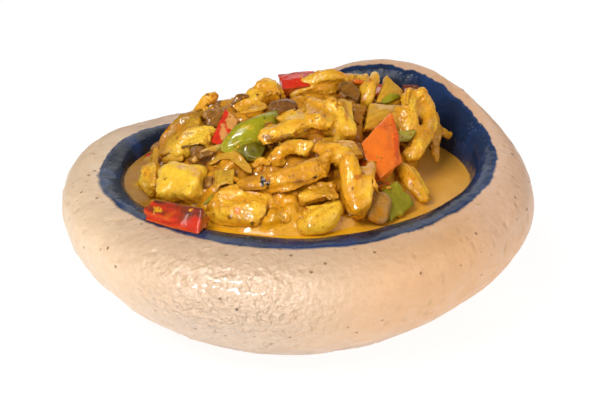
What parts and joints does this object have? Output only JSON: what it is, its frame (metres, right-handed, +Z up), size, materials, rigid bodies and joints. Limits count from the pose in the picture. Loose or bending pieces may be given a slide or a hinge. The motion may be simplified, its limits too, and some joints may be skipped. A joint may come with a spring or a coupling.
{
  "type": "chicken curry in its pot",
  "caption": "Chicken curry with peppers, onion and mushroom, heaped in sauce in a hand-shaped stoneware pot that is glazed inside and rises to a lip at the back.",
  "frame": {"origin": "centre of the pot's flat base, on the surface it stands on", "axes": "+Z up, +X to the pot's right as seen from its low front, +Y towards the raised back"},
  "size_m": [0.2512, 0.2215, 0.1272],
  "materials": {
    "stoneware": "unglazed pitted stoneware outside, glossy blue glaze inside",
    "sauce": "thick glossy curry sauce",
    "chicken": "sauce-coated meat, glossy",
    "red_pepper": "waxy, glossy",
    "orange_pepper": "waxy, glossy",
    "green_pepper": "waxy, glossy",
    "onion": "translucent, glossy",
    "mushroom": "cooked, glossy"
  },
  "bodies": {
    "root": {"brown_bit": "mushroom", "chicken_back_centre": "chicken", "chicken_back_left": "chicken", "chicken_back_low": "chicken", "chicken_centre": "chicken", "chicken_centre_flat": "chicken", "chicken_centre_ragged": "chicken", "chicken_cone": "chicken", "chicken_finger": "chicken", "chicken_finger_thin": "chicken", "chicken_front_left": "chicken", "chicken_front_lobe": "chicken", "chicken_front_lump": "chicken", "chicken_front_upright": "chicken", "chicken_left_chunk": "chicken", "chicken_left_mid": "chicken", "chicken_left_small": "chicken", "chicken_left_strip": "chicken", "chicken_left_tip": "chicken", "chicken_long_strip": "chicken", "chicken_mid_curl": "chicken", "chicken_rear_left": "chicken", "chicken_rear_low": "chicken", "chicken_rear_strip": "chicken", "chicken_rear_top": "chicken", "chicken_right_a": "chicken", "chicken_right_b": "chicken", "chicken_right_c": "chicken", "chicken_right_front": "chicken", "chicken_right_tip": "chicken", "chicken_shade": "chicken", "chicken_top_lobe": "chicken", "heap_core": "chicken", "mushroom_back": "mushroom", "mushroom_front": "mushroom", "mushroom_left": "mushroom", "mushroom_left_mid": "mushroom", "mushroom_rear": "mushroom", "mushroom_top": "mushroom", "onion_arch": "onion", "onion_rear": "onion", "onion_right_a": "onion", "onion_right_b": "onion", "onion_square": "onion", "pepper_dark_back": "red_pepper", "pepper_green_front": "green_pepper", "pepper_green_main": "green_pepper", "pepper_green_mid": "green_pepper", "pepper_green_rear": "green_pepper", "pepper_orange": "orange_pepper", "pepper_red_back": "red_pepper", "pepper_red_front": "red_pepper", "pepper_red_left": "red_pepper", "pepper_red_rear": "red_pepper", "pot": "stoneware", "sauce": "sauce"}
  },
  "joints": []
}
